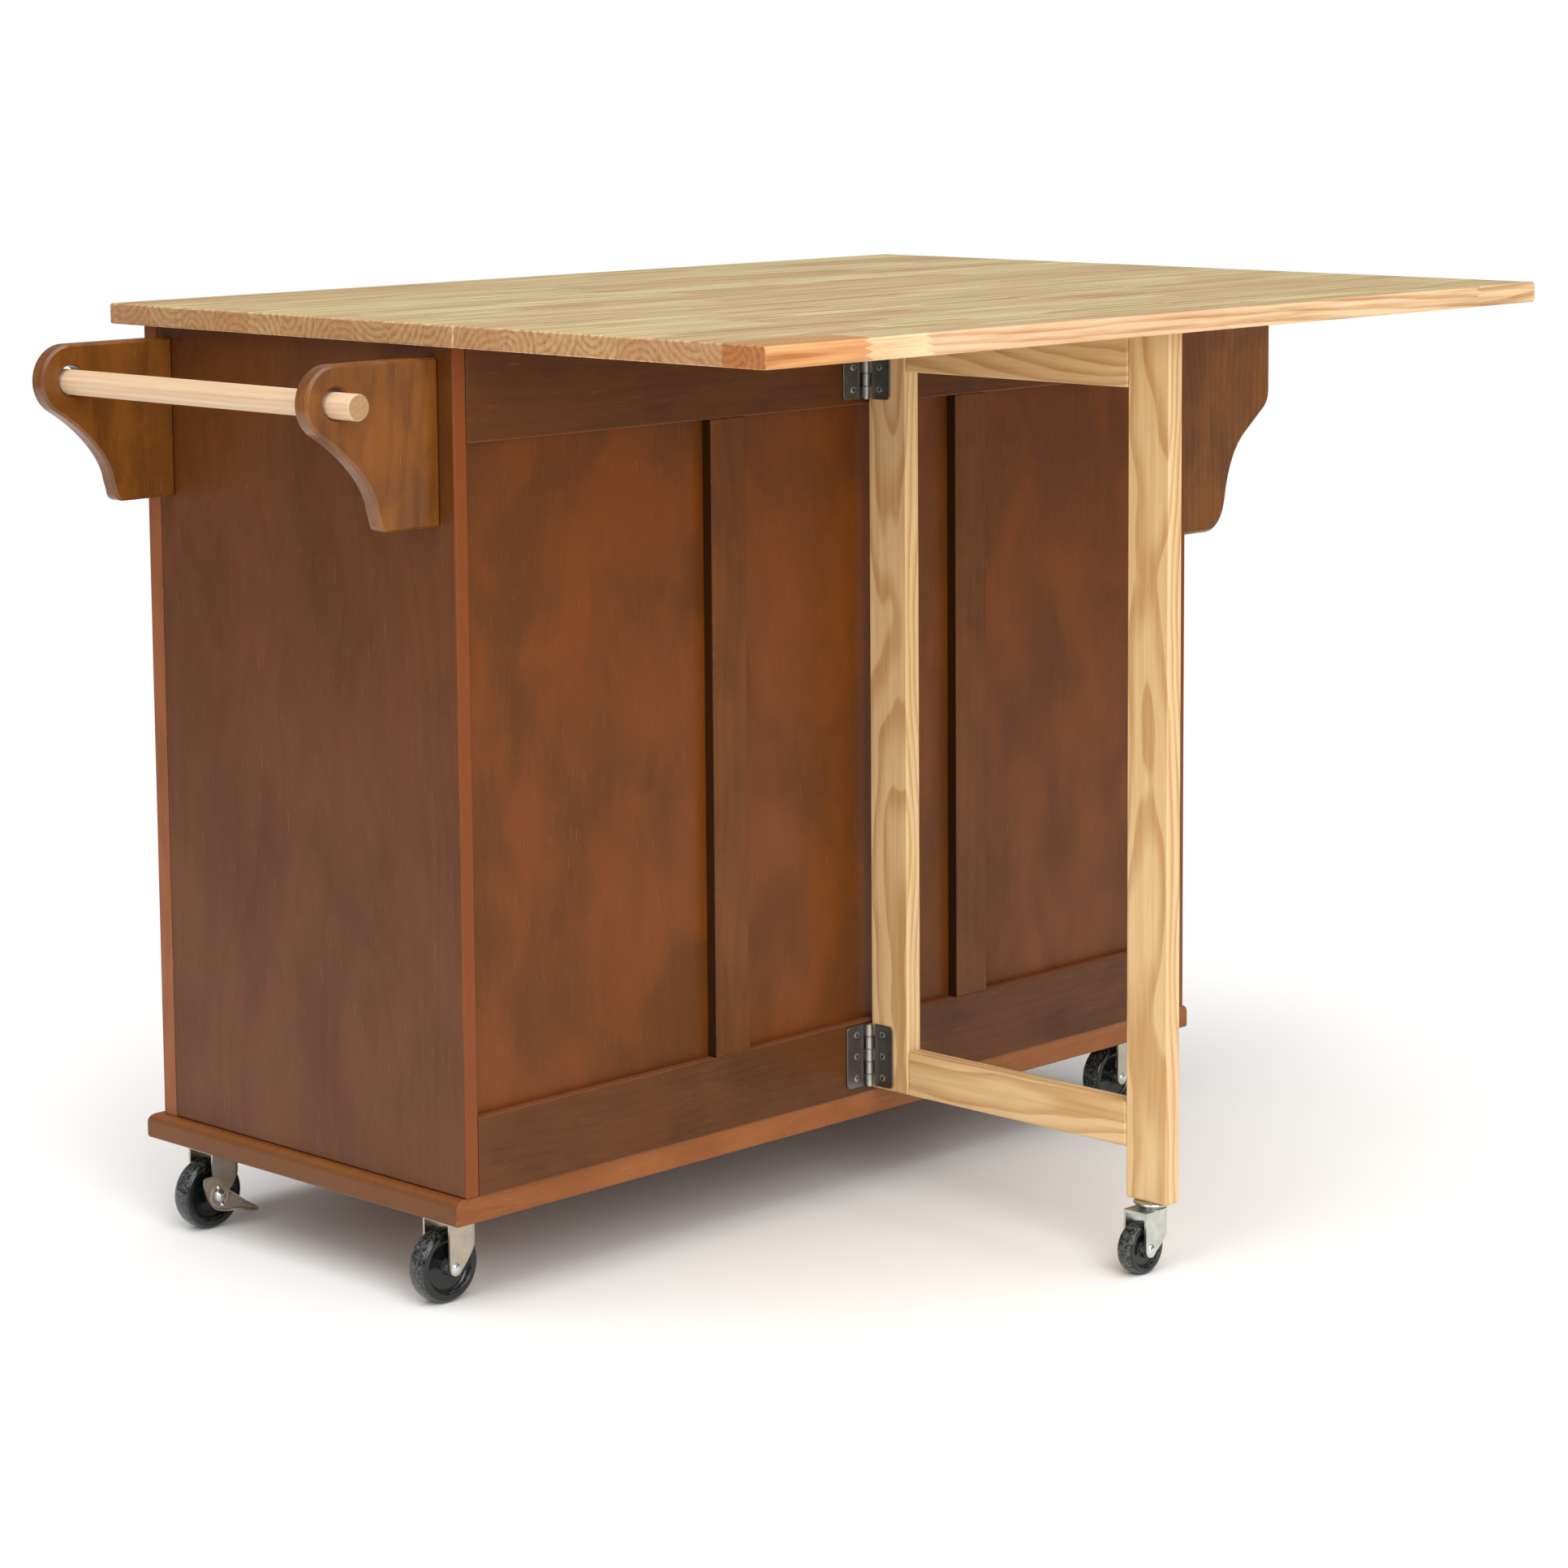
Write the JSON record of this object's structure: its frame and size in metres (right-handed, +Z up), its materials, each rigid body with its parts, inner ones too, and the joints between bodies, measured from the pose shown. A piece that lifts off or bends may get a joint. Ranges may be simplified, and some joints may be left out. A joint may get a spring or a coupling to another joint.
{
  "type": "drop leaf kitchen island",
  "caption": "Wooden kitchen island on casters with a drop leaf carried by a swinging gate, inset doors and drawers, a towel bar and a spice rack.",
  "frame": {"origin": "on the floor, under the middle of the object's own box", "axes": "+X along the island towards the towel bar, +Y from the doors towards the drop leaf, +Z up"},
  "size_m": [1.358, 0.9, 0.914],
  "materials": {
    "top_wood": "satin clear lacquer on edge-glued staves",
    "gate_wood": "satin clear lacquer",
    "dowel_wood": "satin clear lacquer",
    "brown_stain": "semi-gloss brown stain",
    "red_stain": "semi-gloss red-brown stain",
    "base_stain": "semi-gloss light brown stain",
    "inner_wood": "matt clear lacquer",
    "back_panel": "semi-gloss brown stain on veneer",
    "nickel": "satin nickel plate",
    "zinc": "bright zinc plate",
    "hinge_steel": "dull steel",
    "black_wheel": "black moulded, scuffed"
  },
  "bodies": {
    "cabinet": {"main_top": "top_wood", "base_board": "base_stain", "end_panel_towel": "brown_stain", "end_panel_spice": "brown_stain", "back_panel": "back_panel", "back_rail_top": "brown_stain", "back_rail_bottom": "brown_stain", "back_muntin_towel": "brown_stain", "back_muntin_spice": "brown_stain", "divider_towel": "inner_wood", "divider_spice": "inner_wood", "shelf_towel": "inner_wood", "shelf_spice": "inner_wood", "face_frame": "red_stain", "towel_bracket_back": "red_stain", "towel_bracket_front": "red_stain", "spice_side_back": "red_stain", "spice_side_front": "red_stain", "spice_shelf_upper": "red_stain", "spice_shelf_lower": "red_stain", "spice_rail": "red_stain", "gate_hinge_upper_fixed": "hinge_steel", "gate_hinge_lower_fixed": "hinge_steel", "leaf_hinge_towel_fixed": "hinge_steel", "leaf_hinge_spice_fixed": "hinge_steel", "caster_mount_towel_back": "nickel", "caster_mount_towel_front": "nickel", "caster_mount_spice_back": "nickel", "caster_mount_spice_front": "nickel"},
    "leaf": {"drop_leaf": "top_wood", "leaf_hinge_towel_moving": "hinge_steel", "leaf_hinge_spice_moving": "hinge_steel"},
    "gate": {"gate_hinge_stile": "gate_wood", "gate_outer_leg": "gate_wood", "gate_top_rail": "gate_wood", "gate_bottom_rail": "gate_wood", "gate_hinge_upper_moving": "hinge_steel", "gate_hinge_lower_moving": "hinge_steel", "gate_caster_stem": "zinc"},
    "gate_fork": {"gate_caster_fork": "zinc"},
    "gate_wheel": {"gate_caster_wheel": "black_wheel"},
    "door_towel": {"door_towel": "red_stain"},
    "door_spice": {"door_spice": "red_stain"},
    "drawer_upper": {"drawer_front_upper": "red_stain", "drawer_box_upper": "inner_wood"},
    "drawer_middle": {"drawer_front_middle": "red_stain", "drawer_box_middle": "inner_wood"},
    "drawer_lower": {"drawer_front_lower": "red_stain", "drawer_box_lower": "inner_wood"},
    "towel_bar": {"towel_bar": "dowel_wood"},
    "fork_towel_back": {"caster_fork_towel_back": "nickel"},
    "wheel_towel_back": {"caster_wheel_towel_back": "black_wheel"},
    "fork_towel_front": {"caster_fork_towel_front": "nickel"},
    "wheel_towel_front": {"caster_wheel_towel_front": "black_wheel"},
    "brake_towel_front": {"brake_lever_towel_front": "nickel"},
    "fork_spice_back": {"caster_fork_spice_back": "nickel"},
    "wheel_spice_back": {"caster_wheel_spice_back": "black_wheel"},
    "fork_spice_front": {"caster_fork_spice_front": "nickel"},
    "wheel_spice_front": {"caster_wheel_spice_front": "black_wheel"},
    "brake_spice_front": {"brake_lever_spice_front": "nickel"}
  },
  "joints": [
    {"name": "leaf_lift", "type": "hinge", "parent": "cabinet", "child": "leaf", "pos_m": [0.009, 0.064, 0.89], "axis": [1, 0, 0], "range_deg": [0, 2]},
    {"name": "gate_swing", "type": "hinge", "parent": "cabinet", "child": "gate", "pos_m": [-0.0045, 0.033, 0.5], "axis": [0, 0, -1], "range_deg": [0, 90]},
    {"name": "gate_caster_swivel", "type": "hinge", "parent": "gate", "child": "gate_fork", "pos_m": [-0.01915, 0.3865, 0.06], "axis": [0, 0, 1], "continuous": true},
    {"name": "gate_wheel_spin", "type": "hinge", "parent": "gate_fork", "child": "gate_wheel", "pos_m": [-0.00115, 0.3865, 0.025], "axis": [0, 1, 0], "continuous": true},
    {"name": "door_towel_swing", "type": "hinge", "parent": "cabinet", "child": "door_towel", "pos_m": [0.486, -0.4273, 0.5], "axis": [0, 0, 1], "range_deg": [0, 100]},
    {"name": "door_spice_swing", "type": "hinge", "parent": "cabinet", "child": "door_spice", "pos_m": [-0.468, -0.4273, 0.5], "axis": [0, 0, -1], "range_deg": [0, 100]},
    {"name": "drawer_upper_slide", "type": "slide", "parent": "cabinet", "child": "drawer_upper", "axis": [0, -1, 0], "range_m": [0, 0.3]},
    {"name": "drawer_middle_slide", "type": "slide", "parent": "cabinet", "child": "drawer_middle", "axis": [0, -1, 0], "range_m": [0, 0.3]},
    {"name": "drawer_lower_slide", "type": "slide", "parent": "cabinet", "child": "drawer_lower", "axis": [0, -1, 0], "range_m": [0, 0.3]},
    {"name": "towel_bar_slide", "type": "slide", "parent": "cabinet", "child": "towel_bar", "axis": [0, 1, 0], "range_m": [-0.015, 0.015]},
    {"name": "towel_back_swivel", "type": "hinge", "parent": "cabinet", "child": "fork_towel_back", "pos_m": [0.489, -0.029, 0.078], "axis": [0, 0, 1], "continuous": true},
    {"name": "towel_back_spin", "type": "hinge", "parent": "fork_towel_back", "child": "wheel_towel_back", "pos_m": [0.508, -0.029, 0.035], "axis": [0, 1, 0], "continuous": true},
    {"name": "towel_front_swivel", "type": "hinge", "parent": "cabinet", "child": "fork_towel_front", "pos_m": [0.489, -0.383, 0.078], "axis": [0, 0, 1], "continuous": true},
    {"name": "towel_front_spin", "type": "hinge", "parent": "fork_towel_front", "child": "wheel_towel_front", "pos_m": [0.508, -0.383, 0.035], "axis": [0, 1, 0], "continuous": true},
    {"name": "towel_front_brake", "type": "hinge", "parent": "fork_towel_front", "child": "brake_towel_front", "pos_m": [0.508, -0.383, 0.035], "axis": [0, 1, 0], "range_deg": [0, 12]},
    {"name": "spice_back_swivel", "type": "hinge", "parent": "cabinet", "child": "fork_spice_back", "pos_m": [-0.471, -0.029, 0.078], "axis": [0, 0, 1], "continuous": true},
    {"name": "spice_back_spin", "type": "hinge", "parent": "fork_spice_back", "child": "wheel_spice_back", "pos_m": [-0.452, -0.029, 0.035], "axis": [0, 1, 0], "continuous": true},
    {"name": "spice_front_swivel", "type": "hinge", "parent": "cabinet", "child": "fork_spice_front", "pos_m": [-0.471, -0.383, 0.078], "axis": [0, 0, 1], "continuous": true},
    {"name": "spice_front_spin", "type": "hinge", "parent": "fork_spice_front", "child": "wheel_spice_front", "pos_m": [-0.452, -0.383, 0.035], "axis": [0, 1, 0], "continuous": true},
    {"name": "spice_front_brake", "type": "hinge", "parent": "fork_spice_front", "child": "brake_spice_front", "pos_m": [-0.452, -0.383, 0.035], "axis": [0, 1, 0], "range_deg": [0, 12]}
  ]
}
